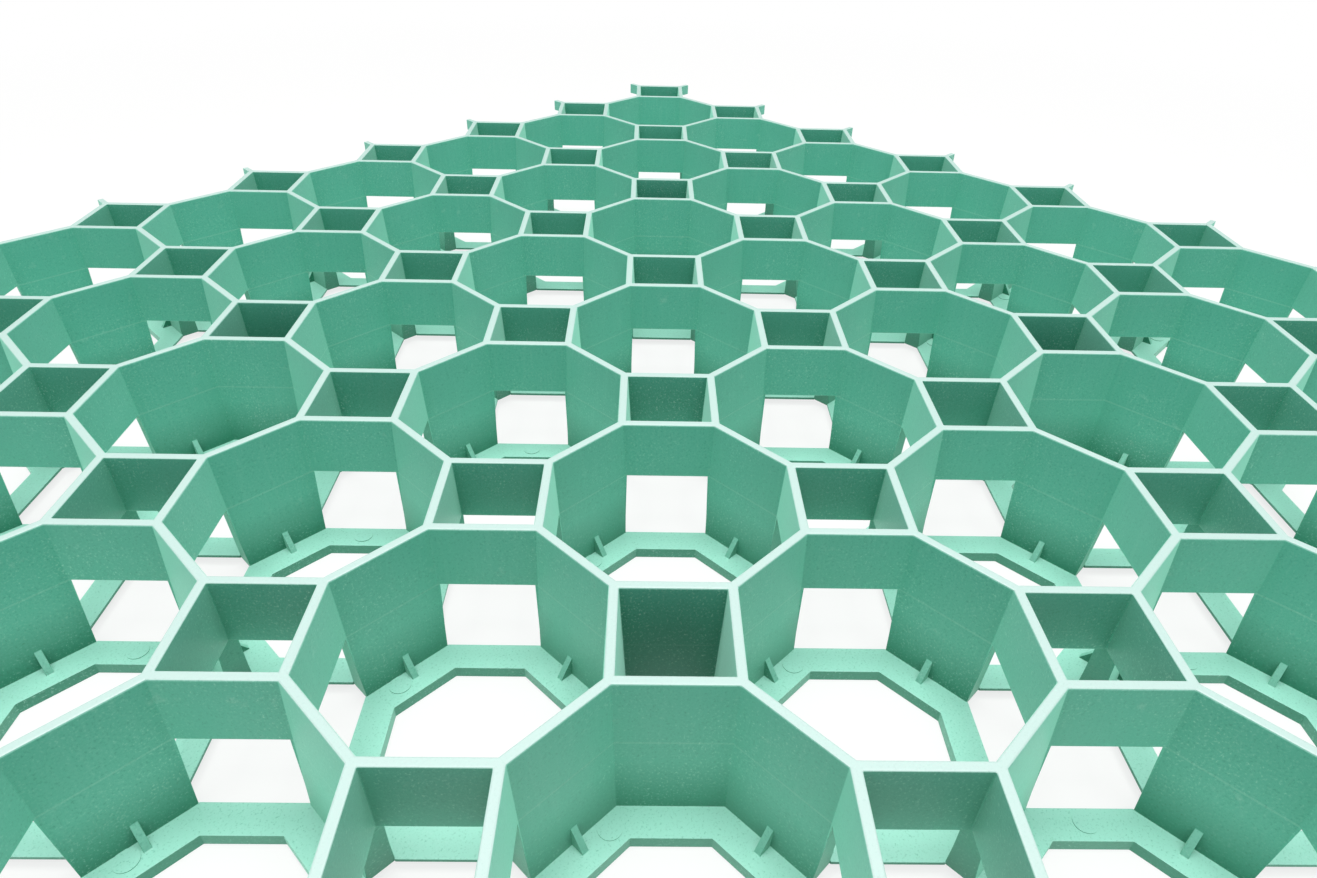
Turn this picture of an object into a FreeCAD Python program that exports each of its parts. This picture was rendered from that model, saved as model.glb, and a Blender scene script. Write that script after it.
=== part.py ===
import FreeCAD, Part
import math
import os

# Grass paver grid, moulded in one piece of green polyethylene, lying flat as it is laid.
# Sizes in mm. X and Y run along the panel's sides, towards the two sides that carry the outer
# square cells and the lugs. Z is up. The origin is the middle of the panel's box, on the ground.

# Laid panels repeat at this distance along both sides.
laid_module = 500.0
# Octagon cells along one side of the panel
cells_per_side = 7
panel_height = 45.0
# All walls are this thick at the top, and every cell narrows downwards by the mould's draft.
rim_thickness = 2.5
draft_angle = 3.2
# Full band of the square cells' walls. Below it only the walls that two octagons share go on, as legs.
band_height = 18.8
# At the foot the legs stop this far short of the octagons' corners. Their ends lean by the draft too.
leg_setback = 0.25
# Foot of each octagon cell: a thin plate at the walls' lower ends, with a deeper rim round its opening
foot_opening = 46.4
foot_height = 3.5
foot_rim_width = 2.0
plate_thickness = 1.0
# Small fins between the foot plate and the middle of each leg
gusset_height = 6.0
gusset_reach = 3.8
gusset_thickness = 1.8
# Lugs on the outermost corners of the outer square cells. They hold off the next panel.
lug_length = 5.5
lug_height = 6.0
lug_thickness = 2.5
lug_clearance = 0.3
# The square cells with no windows: all four places where two of these rows cross
closed_rows = (1, 4)
# Plates and gussets run this far into the walls, and cutters this far past what they cut.
wall_root = 0.3
cut_margin = 1.0

# A lug's square end comes to rest in the right-angled corner between two octagons of the next panel.
joint_along_side = rim_thickness * math.sqrt(2) + lug_length + lug_thickness / 2 + lug_clearance
pitch = (laid_module - joint_along_side) / cells_per_side
half_rim = rim_thickness / 2
draft = math.tan(math.radians(draft_angle))
octagon_side_ratio = math.tan(math.radians(22.5))
cell_apothem = pitch / 2
outer_apothem = cell_apothem + half_rim
square_half = cell_apothem * octagon_side_ratio
square_outer_corner = (square_half + half_rim) * math.sqrt(2)
window_top = panel_height - band_height
wall_foot = foot_height - plate_thickness

# The box runs from the plain sides' walls to the tips of the lugs.
plain_reach = cells_per_side * pitch / 2 + half_rim
lug_reach = cells_per_side * pitch / 2 + square_outer_corner + lug_length
middle = (plain_reach - lug_reach) / 2


def half_wall(z):
    """Half the thickness of a wall between two cells at height z."""
    return half_rim + (panel_height - z) * draft


def cell_centre(index):
    """Place of an octagon cell's centre along X or Y, counted from the plain side."""
    return middle + (index - (cells_per_side - 1) / 2) * pitch


def square_centre(index):
    """Place of a square cell's centre: half a cell past the octagon of the same number."""
    return cell_centre(index) + pitch / 2


def octagon(apothem, z):
    """Corners of an octagon with sides along X and Y."""
    near = apothem * octagon_side_ratio
    steps = [(apothem, near), (near, apothem), (-near, apothem), (-apothem, near)]
    steps += [(-x, -y) for x, y in steps]
    return [FreeCAD.Vector(x, y, z) for x, y in steps]


def diamond(half_width, z):
    """Corners of a square that stands on one corner between four octagons."""
    reach = half_width * math.sqrt(2)
    steps = [(reach, 0), (0, reach), (-reach, 0), (0, -reach)]
    return [FreeCAD.Vector(x, y, z) for x, y in steps]


def flat_face(corners):
    return Part.Face(Part.makePolygon(corners + corners[:1]))


def prism(corners, height):
    return flat_face(corners).extrude(FreeCAD.Vector(0, 0, height))


def tapered(bottom, top):
    """Solid between two like outlines at two heights."""
    faces = [flat_face(bottom), flat_face(top)]
    for k in range(len(bottom)):
        faces.append(flat_face([bottom[k - 1], bottom[k], top[k], top[k - 1]]))
    return Part.Solid(Part.Shell(faces))


def cell_hole(shape, centreline):
    """Cutter for one cell, wide at the top."""
    low = wall_foot - cut_margin
    high = panel_height + cut_margin
    return tapered(shape(centreline - half_wall(low), low), shape(centreline - half_wall(high), high))


def plain_side():
    """Outline of the side along X that has no square cells, from its first to its last octagon."""
    flat = outer_apothem * octagon_side_ratio
    notch = outer_apothem * math.sqrt(2) - pitch / 2
    y = cell_centre(0)
    points = []
    for i in range(cells_per_side):
        x = cell_centre(i)
        if i > 0:
            points.append((x - pitch / 2, y - notch))
        points.append((x - flat, y - outer_apothem))
        points.append((x + flat, y - outer_apothem))
    return points


def lug_side():
    """Outline of the side along Y that has the outer square cells, up to the corner square."""
    flat = outer_apothem * octagon_side_ratio
    shoulder = square_outer_corner - half_rim
    wall_face = cell_centre(cells_per_side - 1) + outer_apothem
    tip = square_centre(cells_per_side - 1) + square_outer_corner
    points = [(wall_face, cell_centre(0) - flat)]
    for j in range(cells_per_side):
        y = square_centre(j)
        points.append((wall_face, y - shoulder))
        points.append((tip, y))
        if j < cells_per_side - 1:
            points.append((wall_face, y + shoulder))
    return points


def outline():
    """The whole panel is alike on both sides of its diagonal."""
    half = plain_side() + lug_side()
    other_half = [(y, x) for x, y in reversed(half)]
    return [FreeCAD.Vector(x, y, wall_foot) for x, y in half + other_half]


def cell_holes():
    """One tapered cutter for each octagon and each square cell."""
    octagon_hole = cell_hole(octagon, cell_apothem)
    square_hole = cell_hole(diamond, square_half)
    holes = []
    for i in range(cells_per_side):
        for j in range(cells_per_side):
            holes.append(octagon_hole.translated(FreeCAD.Vector(cell_centre(i), cell_centre(j), 0)))
            holes.append(square_hole.translated(FreeCAD.Vector(square_centre(i), square_centre(j), 0)))
    return holes


def window_outline(i, j, z):
    """Corners, at height z, of what is open between the leg ends round one square cell."""
    leg_half = (cell_apothem - half_wall(wall_foot)) * octagon_side_ratio - leg_setback
    inward = pitch / 2 - leg_half - (z - wall_foot) * draft
    outward = square_outer_corner + cut_margin
    last = cells_per_side - 1
    low_x = square_centre(i) - inward
    low_y = square_centre(j) - inward
    high_x = square_centre(i) + (outward if i == last else inward)
    high_y = square_centre(j) + (outward if j == last else inward)
    corners = [(low_x, low_y), (high_x, low_y), (high_x, high_y), (low_x, high_y)]
    return [FreeCAD.Vector(x, y, z) for x, y in corners]


def window_cutter(i, j):
    """Cutter for all below one square cell's band but the legs, wide at the foot."""
    return tapered(window_outline(i, j, wall_foot - cut_margin), window_outline(i, j, window_top))


def window_cutters():
    """One cutter at each square place, also those that a next panel's squares fill."""
    cutters = []
    for i in range(-1, cells_per_side):
        for j in range(-1, cells_per_side):
            if i not in closed_rows or j not in closed_rows:
                cutters.append(window_cutter(i, j))
    return cutters


def gusset():
    """Fin on the leg towards +X of a cell at the origin."""
    tip_height = foot_height + gusset_height
    foot_face = cell_apothem - half_wall(foot_height)
    tip_face = cell_apothem - half_wall(tip_height)
    side = -gusset_thickness / 2
    profile = [
        (foot_face + wall_root, foot_height),
        (foot_face - gusset_reach, foot_height),
        (tip_face, tip_height),
        (tip_face + wall_root, tip_height),
    ]
    fin = flat_face([FreeCAD.Vector(x, side, z) for x, z in profile])
    return fin.extrude(FreeCAD.Vector(0, gusset_thickness, 0))


def cell_foot():
    """Foot plate, rim and four gussets of a cell at the origin."""
    plate_apothem = cell_apothem - half_wall(wall_foot) + wall_root
    opening_apothem = foot_opening / 2
    plate = prism(octagon(plate_apothem, wall_foot), plate_thickness)
    rim = prism(octagon(opening_apothem + foot_rim_width, 0), foot_height)
    opening = prism(octagon(opening_apothem, 0), foot_height)
    gussets = []
    for turn in range(4):
        turned = gusset()
        turned.rotate(FreeCAD.Vector(), FreeCAD.Vector(0, 0, 1), 90 * turn)
        gussets.append(turned)
    return plate.fuse(rim).cut(opening).fuse(gussets)


def cell_feet():
    foot = cell_foot()
    feet = []
    for i in range(cells_per_side):
        for j in range(cells_per_side):
            feet.append(foot.translated(FreeCAD.Vector(cell_centre(i), cell_centre(j), 0)))
    return feet


def lugs():
    """One lug on each outer square cell's outermost corner, flush with the top."""
    root = rim_thickness
    start = square_centre(cells_per_side - 1) + square_outer_corner - root
    length = root + lug_length
    low = panel_height - lug_height
    boxes = []
    for index in range(cells_per_side):
        side = square_centre(index) - lug_thickness / 2
        boxes.append(Part.makeBox(length, lug_thickness, lug_height, FreeCAD.Vector(start, side, low)))
        boxes.append(Part.makeBox(lug_thickness, length, lug_height, FreeCAD.Vector(side, start, low)))
    return boxes


lattice = prism(outline(), panel_height - wall_foot).cut(cell_holes())
grid = lattice.cut(window_cutters()).fuse(cell_feet() + lugs()).removeSplitter()

os.makedirs("parts", exist_ok=True)
grid.exportStep("parts/paver_grid.step")
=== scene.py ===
import math

import bpy
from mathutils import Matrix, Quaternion, Vector


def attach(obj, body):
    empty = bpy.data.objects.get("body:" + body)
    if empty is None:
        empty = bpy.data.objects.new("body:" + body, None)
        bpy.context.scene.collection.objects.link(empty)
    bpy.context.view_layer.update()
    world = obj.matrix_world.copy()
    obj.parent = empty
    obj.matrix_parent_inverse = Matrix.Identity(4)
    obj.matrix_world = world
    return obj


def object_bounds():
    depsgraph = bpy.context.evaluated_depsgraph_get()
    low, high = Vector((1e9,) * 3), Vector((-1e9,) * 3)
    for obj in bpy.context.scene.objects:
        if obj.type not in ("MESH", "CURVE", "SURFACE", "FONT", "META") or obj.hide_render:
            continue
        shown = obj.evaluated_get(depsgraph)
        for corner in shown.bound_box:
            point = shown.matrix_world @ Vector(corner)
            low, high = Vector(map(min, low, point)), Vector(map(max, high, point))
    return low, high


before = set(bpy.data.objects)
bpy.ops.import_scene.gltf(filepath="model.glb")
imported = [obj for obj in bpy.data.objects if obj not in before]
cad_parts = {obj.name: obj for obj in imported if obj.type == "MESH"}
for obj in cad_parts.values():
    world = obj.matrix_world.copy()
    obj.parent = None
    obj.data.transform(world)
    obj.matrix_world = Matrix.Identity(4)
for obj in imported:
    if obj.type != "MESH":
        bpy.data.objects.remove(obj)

cad_low, cad_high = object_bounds()

# The panel: one injection-moulded grid of pale blue-green polyethylene, with its walls, foot plates,
# gussets and lugs filled in one shot. The tool leaves satin faces, slightly rounded edges and a faint
# line round each cell where its two halves meet.
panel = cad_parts["paver_grid"]
panel_height = cad_high.z
rim_thickness = 0.0025
cells_per_side = 7
cell_pitch = 0.069916
band_height = 0.0188
middle_cell = cad_low.x + rim_thickness / 2 + cells_per_side / 2 * cell_pitch
# Sockets of a Mix node that mixes colours, by number because their names repeat
mix_share, mix_under, mix_over, mix_result = 0, 6, 7, 2


def linear(hex_colour):
    """An sRGB hex colour as linear red, green, blue and alpha."""
    channels = [int(hex_colour[start:start + 2], 16) / 255 for start in (1, 3, 5)]
    return [c / 12.92 if c <= 0.04045 else ((c + 0.055) / 1.055) ** 2.4 for c in channels] + [1.0]


def add_node(tree, kind, inputs=None, **settings):
    """Adds a node. An input given as a socket is linked, and any other value is set."""
    node = tree.nodes.new(kind)
    for name, value in settings.items():
        setattr(node, name, value)
    for key, value in (inputs or {}).items():
        if isinstance(value, bpy.types.NodeSocket):
            tree.links.new(value, node.inputs[key])
        else:
            node.inputs[key].default_value = value
    return node


# Moulded polyethylene: a satin, slightly waxy plastic that lets a little light into its edges. It shows
# soft cloudy flow marks, the tool's spark-eroded grain, streaks where it slid off the cores, and scuffs.
# The fine grain scatters light at a low angle, so walls seen along their length are paler.
plastic = bpy.data.materials.new("moulded polyethylene, pale green")
plastic.use_nodes = True
tree = plastic.node_tree
shader = tree.nodes["Principled BSDF"]
shader.inputs["IOR"].default_value = 1.54
shader.inputs["Subsurface Weight"].default_value = 0.06
shader.inputs["Subsurface Radius"].default_value = (0.5, 1.0, 0.8)
shader.inputs["Subsurface Scale"].default_value = 0.002
shader.inputs["Sheen Weight"].default_value = 1.0
shader.inputs["Sheen Roughness"].default_value = 0.5
shader.inputs["Sheen Tint"].default_value = linear("#b0ecd8")

# Flow marks are clouds about 45 mm across.
flow_patch = 0.045
place = add_node(tree, "ShaderNodeTexCoord").outputs["Object"]
height = add_node(tree, "ShaderNodeSeparateXYZ", {"Vector": place}).outputs["Z"]
flow = add_node(tree, "ShaderNodeTexNoise", {
    "Vector": place, "Scale": 1 / flow_patch, "Detail": 3.0, "Roughness": 0.55}).outputs["Fac"]
body_colour = add_node(tree, "ShaderNodeMix", {
    mix_share: flow, mix_under: linear("#58bca2"), mix_over: linear("#65c6ae")},
    data_type="RGBA").outputs[mix_result]

# Streaks about 1.2 mm wide and 30 mm long run up the walls, and scuffs of about 6 mm lie anywhere.
streak_width = 0.0012
streak_length = 0.03
scuff_length = 0.006
upright = add_node(tree, "ShaderNodeVectorMath", {
    0: place, 1: (1.0, 1.0, streak_width / streak_length)}, operation="MULTIPLY").outputs[0]
streaks = add_node(tree, "ShaderNodeTexNoise", {
    "Vector": upright, "Scale": 1 / streak_width, "Detail": 2.0}).outputs["Fac"]
streak_share = add_node(tree, "ShaderNodeMapRange", {
    "Value": streaks, "From Min": 0.5, "From Max": 0.75, "To Max": 0.1}).outputs["Result"]
streak_colour = add_node(tree, "ShaderNodeMix", {
    mix_share: streak_share, mix_under: body_colour, mix_over: linear("#96d9c6")},
    data_type="RGBA").outputs[mix_result]
scuffs = add_node(tree, "ShaderNodeTexNoise", {
    "Vector": place, "Scale": 1 / scuff_length, "Detail": 6.0, "Roughness": 0.7}).outputs["Fac"]
scuff_share = add_node(tree, "ShaderNodeMapRange", {
    "Value": scuffs, "From Min": 0.62, "From Max": 0.75, "To Max": 0.4}).outputs["Result"]
scuffed_colour = add_node(tree, "ShaderNodeMix", {
    mix_share: scuff_share, mix_under: streak_colour, mix_over: linear("#b4e0d1")},
    data_type="RGBA").outputs[mix_result]

# A pale raised line runs round each cell where the tool's halves meet, level with the windows' tops.
mould_line = panel_height - band_height
line_width = 0.0005
line_paleness = 0.22
on_line = add_node(tree, "ShaderNodeMath", {
    0: height, 1: mould_line, 2: line_width / 2}, operation="COMPARE").outputs[0]
line_share = add_node(tree, "ShaderNodeMath", {
    0: on_line, 1: line_paleness}, operation="MULTIPLY").outputs[0]
lined_colour = add_node(tree, "ShaderNodeMix", {
    mix_share: line_share, mix_under: scuffed_colour, mix_over: linear("#b4e0d1")},
    data_type="RGBA").outputs[mix_result]

# Painted shade: the colour goes deeper, towards a dark green, in narrow corners and hollows where little
# light reaches, and towards the foot of the walls.
corner_reach = 0.03
foot_shade_from = 0.02
foot_shade_to = 0.004
corner = add_node(tree, "ShaderNodeAmbientOcclusion", {
    "Distance": corner_reach}, samples=3, only_local=True).outputs["AO"]
open_share = add_node(tree, "ShaderNodeMapRange", {
    "Value": corner, "From Min": 0.2, "From Max": 0.9}).outputs["Result"]
foot_unshaded_share = add_node(tree, "ShaderNodeMapRange", {
    "Value": height, "From Min": foot_shade_to, "From Max": foot_shade_from, "To Min": 0.2}).outputs["Result"]
unshaded_share = add_node(tree, "ShaderNodeMath", {
    0: open_share, 1: foot_unshaded_share}, operation="MULTIPLY").outputs[0]
painted_shade_colour = add_node(tree, "ShaderNodeMix", {
    mix_share: unshaded_share, mix_under: linear("#0c785b"), mix_over: lined_colour},
    data_type="RGBA").outputs[mix_result]

# Painted highlight: faces that look up are painted paler, as if lit from above, the rim's top millimetre
# most.
rim_highlight_depth = 0.001
rim_highlight_full_depth = 0.0002
normal = add_node(tree, "ShaderNodeNewGeometry").outputs["Normal"]
upward = add_node(tree, "ShaderNodeSeparateXYZ", {"Vector": normal}).outputs["Z"]
looks_up = add_node(tree, "ShaderNodeMapRange", {
    "Value": upward, "From Min": 0.25, "From Max": 0.85}).outputs["Result"]
up_highlight_colour = add_node(tree, "ShaderNodeMix", {
    mix_share: looks_up, mix_under: painted_shade_colour, mix_over: linear("#a4dfce")},
    data_type="RGBA").outputs[mix_result]
at_rim = add_node(tree, "ShaderNodeMapRange", {
    "Value": height, "From Min": panel_height - rim_highlight_depth,
    "From Max": panel_height - rim_highlight_full_depth}).outputs["Result"]
rim_highlight_share = add_node(tree, "ShaderNodeMath", {0: at_rim, 1: looks_up}, operation="MULTIPLY").outputs[0]
rim_highlight_colour = add_node(tree, "ShaderNodeMix", {
    mix_share: rim_highlight_share, mix_under: up_highlight_colour, mix_over: linear("#c0d9d3")},
    data_type="RGBA").outputs[mix_result]

# The real grain is about 0.1 mm, and it is drawn at 0.6 mm so that it shows. Its peaks are rubbed pale, in
# patches about 25 mm across, and its pits are deeper in colour. Under the painted rim highlight its pits
# fade.
grain_size = 0.0006
grain_patch = 0.025
grain = add_node(tree, "ShaderNodeTexNoise", {
    "Vector": place, "Scale": 1 / grain_size, "Detail": 3.0, "Roughness": 0.65}).outputs["Fac"]
patches = add_node(tree, "ShaderNodeTexNoise", {
    "Vector": place, "Scale": 1 / grain_patch, "Detail": 2.0}).outputs["Fac"]
rubbed_patch = add_node(tree, "ShaderNodeMapRange", {
    "Value": patches, "From Min": 0.4, "From Max": 0.65, "To Min": 0.2}).outputs["Result"]
peak = add_node(tree, "ShaderNodeMapRange", {
    "Value": grain, "From Min": 0.57, "From Max": 0.74, "To Max": 0.6}).outputs["Result"]
peak_share = add_node(tree, "ShaderNodeMath", {
    0: peak, 1: rubbed_patch}, operation="MULTIPLY").outputs[0]
peak_colour = add_node(tree, "ShaderNodeMix", {
    mix_share: peak_share, mix_under: rim_highlight_colour, mix_over: linear("#c4eade")},
    data_type="RGBA").outputs[mix_result]
pit = add_node(tree, "ShaderNodeMapRange", {
    "Value": grain, "From Min": 0.44, "From Max": 0.28, "To Max": 0.65}).outputs["Result"]
grain_left = add_node(tree, "ShaderNodeMapRange", {
    "Value": rim_highlight_share, "To Min": 1.0, "To Max": 0.3}).outputs["Result"]
pit_share = add_node(tree, "ShaderNodeMath", {0: pit, 1: grain_left}, operation="MULTIPLY").outputs[0]
grain_colour = add_node(tree, "ShaderNodeMix", {
    mix_share: pit_share, mix_under: peak_colour, mix_over: linear("#a8cfc3")},
    data_type="RGBA", blend_type="MULTIPLY").outputs[mix_result]
tree.links.new(grain_colour, shader.inputs["Base Color"])

# Gloss changes with the flow marks, and the grain and the mould line stand less than 0.1 mm proud.
relief = 0.0001
roughness = add_node(tree, "ShaderNodeMapRange", {
    "Value": flow, "To Min": 0.38, "To Max": 0.52}).outputs["Result"]
tree.links.new(roughness, shader.inputs["Roughness"])
grain_bump = add_node(tree, "ShaderNodeBump", {
    "Strength": 0.25, "Distance": relief, "Height": grain}).outputs["Normal"]
line_bump = add_node(tree, "ShaderNodeBump", {
    "Strength": 0.5, "Distance": relief, "Height": on_line, "Normal": grain_bump}).outputs["Normal"]
tree.links.new(line_bump, shader.inputs["Normal"])
panel.data.materials.clear()
panel.data.materials.append(plastic)


def new_shape_tree(name, sizes):
    """A Geometry Nodes tree with a named input for each size, and the sockets of its inputs."""
    shape_tree = bpy.data.node_groups.new(name, "GeometryNodeTree")
    shape_tree.interface.new_socket("Geometry", in_out="INPUT", socket_type="NodeSocketGeometry")
    for size_name in sizes:
        shape_tree.interface.new_socket(size_name, in_out="INPUT", socket_type="NodeSocketFloat")
    shape_tree.interface.new_socket("Geometry", in_out="OUTPUT", socket_type="NodeSocketGeometry")
    return shape_tree, add_node(shape_tree, "NodeGroupInput").outputs


def add_shape_tree(piece, shape_tree, sizes):
    """Puts the tree on a piece as a modifier, and sets each size by its socket's identifier."""
    modifier = piece.modifiers.new(shape_tree.name, "NODES")
    modifier.node_group = shape_tree
    for socket in shape_tree.interface.items_tree:
        if socket.name in sizes:
            modifier[socket.identifier] = sizes[socket.name]


# The tool leaves a small radius on every edge, and use has rubbed the rim's edges rounder. The radii are
# stored as bevel weights, as shares of the largest.
rim_radius = 0.0004
tool_radius = 0.00015
edge_sizes = {
    "Rim level": panel_height - tool_radius,
    "Tool share": tool_radius / rim_radius,
    "Sharp angle": math.radians(30),
}
edge_tree, given = new_shape_tree("edge radii", edge_sizes)
edge_middle = add_node(edge_tree, "GeometryNodeInputPosition").outputs["Position"]
edge_height = add_node(edge_tree, "ShaderNodeSeparateXYZ", {"Vector": edge_middle}).outputs["Z"]
on_rim = add_node(edge_tree, "ShaderNodeMath", {
    0: edge_height, 1: given["Rim level"]}, operation="GREATER_THAN").outputs[0]
radius_share = add_node(edge_tree, "ShaderNodeMapRange", {
    "Value": on_rim, "To Min": given["Tool share"]}).outputs["Result"]
turn = add_node(edge_tree, "GeometryNodeInputMeshEdgeAngle").outputs["Unsigned Angle"]
is_edge = add_node(edge_tree, "ShaderNodeMath", {
    0: turn, 1: given["Sharp angle"]}, operation="GREATER_THAN").outputs[0]
edge_share = add_node(edge_tree, "ShaderNodeMath", {
    0: radius_share, 1: is_edge}, operation="MULTIPLY").outputs[0]
weighted = add_node(edge_tree, "GeometryNodeStoreNamedAttribute", {
    "Geometry": given["Geometry"], "Name": "bevel_weight_edge", "Value": edge_share},
    data_type="FLOAT", domain="EDGE").outputs["Geometry"]
add_node(edge_tree, "NodeGroupOutput", {"Geometry": weighted})

# The mesh comes as loose triangles, so its corners are joined before its edges are rounded.
joined = panel.modifiers.new("joined faces", "WELD")
joined.merge_threshold = 0.00015
add_shape_tree(panel, edge_tree, edge_sizes)
edges = panel.modifiers.new("moulded edges", "BEVEL")
edges.width = rim_radius
edges.segments = 2
edges.limit_method = "WEIGHT"
edges.use_clamp_overlap = False
flat_faces = panel.modifiers.new("even shading", "WEIGHTED_NORMAL")
flat_faces.keep_sharp = True

# Ejector marks: shallow discs on the foot plates, left by the round pins that push the panel out of
# the tool. They are part of the same plastic, one to a cell, and their place shifts from row to row.
plate_top = 0.0035
mark_height = 0.0002
mark_sunk = 0.0003
mark_corners = 24
mark_sizes = {"Cell pitch": cell_pitch, "Mark diameter": 0.006, "Mark depth": mark_height + mark_sunk}
mark_places = [(0.0198, 0.0198, 0.0), (0.0079, 0.0281, 0.0), (-0.0044, 0.0286, 0.0)]

marks_tree, given = new_shape_tree("ejector marks", mark_sizes)
span = add_node(marks_tree, "ShaderNodeMath", {
    0: given["Cell pitch"], 1: cells_per_side - 1}, operation="MULTIPLY").outputs[0]
cells = add_node(marks_tree, "GeometryNodeMeshGrid", {
    "Size X": span, "Size Y": span,
    "Vertices X": cells_per_side, "Vertices Y": cells_per_side}).outputs["Mesh"]

# A cell's row, counted from the plain side, gives the mark's place in it.
cell_place = add_node(marks_tree, "GeometryNodeInputPosition").outputs["Position"]
along_side = add_node(marks_tree, "ShaderNodeSeparateXYZ", {"Vector": cell_place}).outputs["Y"]
rows_from_middle = add_node(marks_tree, "ShaderNodeMath", {
    0: along_side, 1: given["Cell pitch"]}, operation="DIVIDE").outputs[0]
rows_from_side = add_node(marks_tree, "ShaderNodeMath", {
    0: rows_from_middle, 1: cells_per_side / 2}, operation="ADD").outputs[0]
row = add_node(marks_tree, "ShaderNodeMath", {0: rows_from_side}, operation="FLOOR").outputs[0]
place_number = add_node(marks_tree, "ShaderNodeMath", {
    0: row, 1: len(mark_places)}, operation="MODULO").outputs[0]
place_in_cell = add_node(marks_tree, "GeometryNodeIndexSwitch", data_type="VECTOR")
while len(place_in_cell.index_switch_items) < len(mark_places):
    place_in_cell.index_switch_items.new()
marks_tree.links.new(place_number, place_in_cell.inputs["Index"])
for number, mark_place in enumerate(mark_places):
    place_in_cell.inputs[str(number)].default_value = mark_place

on_plate = (middle_cell, middle_cell, plate_top + (mark_height - mark_sunk) / 2)
shift = add_node(marks_tree, "ShaderNodeVectorMath", {
    0: place_in_cell.outputs[0], 1: on_plate}, operation="ADD").outputs[0]
pins = add_node(marks_tree, "GeometryNodeSetPosition", {
    "Geometry": cells, "Offset": shift}).outputs["Geometry"]
radius = add_node(marks_tree, "ShaderNodeMath", {
    0: given["Mark diameter"], 1: 0.5}, operation="MULTIPLY").outputs[0]
disc = add_node(marks_tree, "GeometryNodeMeshCylinder", {
    "Vertices": mark_corners, "Radius": radius, "Depth": given["Mark depth"]}).outputs["Mesh"]
discs = add_node(marks_tree, "GeometryNodeInstanceOnPoints", {
    "Points": pins, "Instance": disc}).outputs["Instances"]
made = add_node(marks_tree, "GeometryNodeRealizeInstances", {"Geometry": discs}).outputs["Geometry"]
coloured = add_node(marks_tree, "GeometryNodeSetMaterial", {
    "Geometry": made, "Material": plastic}).outputs["Geometry"]
add_node(marks_tree, "NodeGroupOutput", {"Geometry": coloured})

marks = bpy.data.objects.new("ejector_marks", bpy.data.meshes.new("ejector marks"))
bpy.context.scene.collection.objects.link(marks)
add_shape_tree(marks, marks_tree, mark_sizes)
evaluated = marks.evaluated_get(bpy.context.evaluated_depsgraph_get())
marks_mesh = bpy.data.meshes.new_from_object(evaluated)
marks.modifiers.clear()
marks.data = marks_mesh
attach(marks, "root")

# The floor: a plain pale studio table of matt white board, on which the panel lies loose. It takes the
# panel's shadow, and further off it goes over to the white of the room.
floor_half = 4.0
shadow_reach = 0.3
white_from = 0.9
white_near_panel = 0.8
floor_corners = [(-floor_half, -floor_half, 0), (floor_half, -floor_half, 0),
                 (floor_half, floor_half, 0), (-floor_half, floor_half, 0)]
floor_mesh = bpy.data.meshes.new("studio floor")
floor_mesh.from_pydata(floor_corners, [], [(0, 1, 2, 3)])
floor = bpy.data.objects.new("studio floor", floor_mesh)
bpy.context.scene.collection.objects.link(floor)


def seen_by_camera(tree):
    """1 where the camera looks, also by a reflection or through glass, and 0 where light is gathered."""
    rays = add_node(tree, "ShaderNodeLightPath").outputs
    seen = rays["Is Camera Ray"]
    for ray in ("Is Glossy Ray", "Is Transmission Ray"):
        seen = add_node(tree, "ShaderNodeMath", {0: seen, 1: rays[ray]}, operation="MAXIMUM").outputs[0]
    return seen


# Matt white board: it scatters light evenly with no gloss, and the camera sees it nearly white.
board = bpy.data.materials.new("matt white board")
board.use_nodes = True
board_tree = board.node_tree
board_tree.nodes.clear()
floor_place = add_node(board_tree, "ShaderNodeTexCoord").outputs["Object"]
from_origin = add_node(board_tree, "ShaderNodeVectorMath", {
    0: floor_place}, operation="LENGTH").outputs["Value"]
white_share = add_node(board_tree, "ShaderNodeMapRange", {
    "Value": from_origin, "From Min": shadow_reach, "From Max": white_from,
    "To Min": white_near_panel}).outputs["Result"]
shown_white = add_node(board_tree, "ShaderNodeMath", {
    0: seen_by_camera(board_tree), 1: white_share}, operation="MULTIPLY").outputs[0]
matt = add_node(board_tree, "ShaderNodeBsdfDiffuse", {"Color": linear("#f4f4f2")}).outputs["BSDF"]
white = add_node(board_tree, "ShaderNodeEmission", {
    "Color": linear("#ffffff"), "Strength": 1.0}).outputs["Emission"]
surface = add_node(board_tree, "ShaderNodeMixShader", {
    0: shown_white, 1: matt, 2: white}).outputs["Shader"]
add_node(board_tree, "ShaderNodeOutputMaterial", {"Surface": surface})
floor_mesh.materials.append(board)

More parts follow.
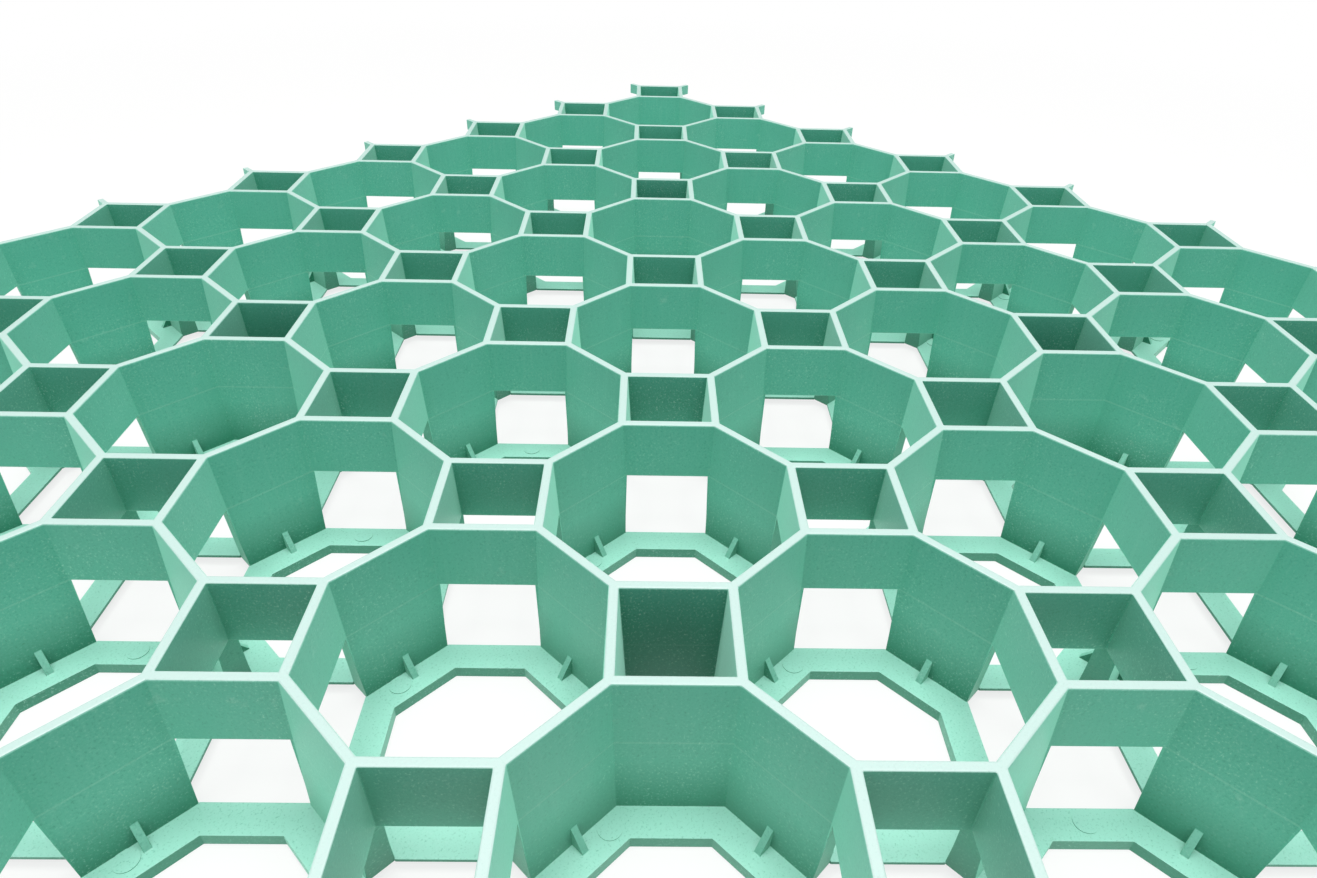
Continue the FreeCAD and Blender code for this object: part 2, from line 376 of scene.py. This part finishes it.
# The light: an even white room, and one large soft box that hangs over the panel a little to the camera's
# side of its middle cell and looks down at it.
room_light = 0.35
box_side = 1.2
box_energy = 27.0
box_above = 1.5
box_nearer = 0.1
room = bpy.data.worlds.new("white room")
bpy.context.scene.world = room
room.use_nodes = True
room_tree = room.node_tree
room_tree.nodes.clear()
strength = add_node(room_tree, "ShaderNodeMapRange", {
    "Value": seen_by_camera(room_tree), "To Min": room_light, "To Max": 1.0}).outputs["Result"]
walls = add_node(room_tree, "ShaderNodeBackground", {
    "Color": linear("#ffffff"), "Strength": strength}).outputs["Background"]
add_node(room_tree, "ShaderNodeOutputWorld", {"Surface": walls})

away = Vector((1, 1, 0)).normalized()
right = Vector((1, -1, 0)).normalized()
up = Vector((0, 0, 1))
panel_middle = Vector((middle_cell, middle_cell, panel_height))
soft_box = bpy.data.lights.new("soft box", "AREA")
soft_box.shape = "RECTANGLE"
soft_box.size = box_side
soft_box.size_y = box_side
soft_box.energy = box_energy
lamp = bpy.data.objects.new("soft box", soft_box)
bpy.context.scene.collection.objects.link(lamp)
lamp.location = panel_middle - away * box_nearer + up * box_above
lamp.rotation_euler = (panel_middle - lamp.location).to_track_quat("-Z", "Y").to_euler()

# The camera stands close over the near corner and looks down along the diagonal to the far corner. Its
# place is given from the top of the nearest closed square cell, a cell and a half from the middle one.
camera_left = 0.00786
camera_nearer = 0.13848
camera_above = 0.15082
look_side = math.radians(1.23)
look_down = math.radians(35.13)
roll = math.radians(1.54)
closed_cell_steps = 1.5
lens = bpy.data.cameras.new("camera")
lens.sensor_width = 36.0
lens.lens = 23.86
lens.clip_start = 0.01
camera = bpy.data.objects.new("camera", lens)
bpy.context.scene.collection.objects.link(camera)
closed_cell = panel_middle - away * (closed_cell_steps * cell_pitch * math.sqrt(2))
camera.location = closed_cell - right * camera_left - away * camera_nearer + up * camera_above
along_floor = math.cos(look_side) * away + math.sin(look_side) * right
forward = math.cos(look_down) * along_floor - math.sin(look_down) * up
camera.rotation_mode = "QUATERNION"
camera.rotation_quaternion = forward.to_track_quat("-Z", "Y") @ Quaternion((0, 0, 1), roll)
bpy.context.scene.camera = camera
bpy.context.scene.view_settings.view_transform = "Standard"

bpy.context.view_layer.update()
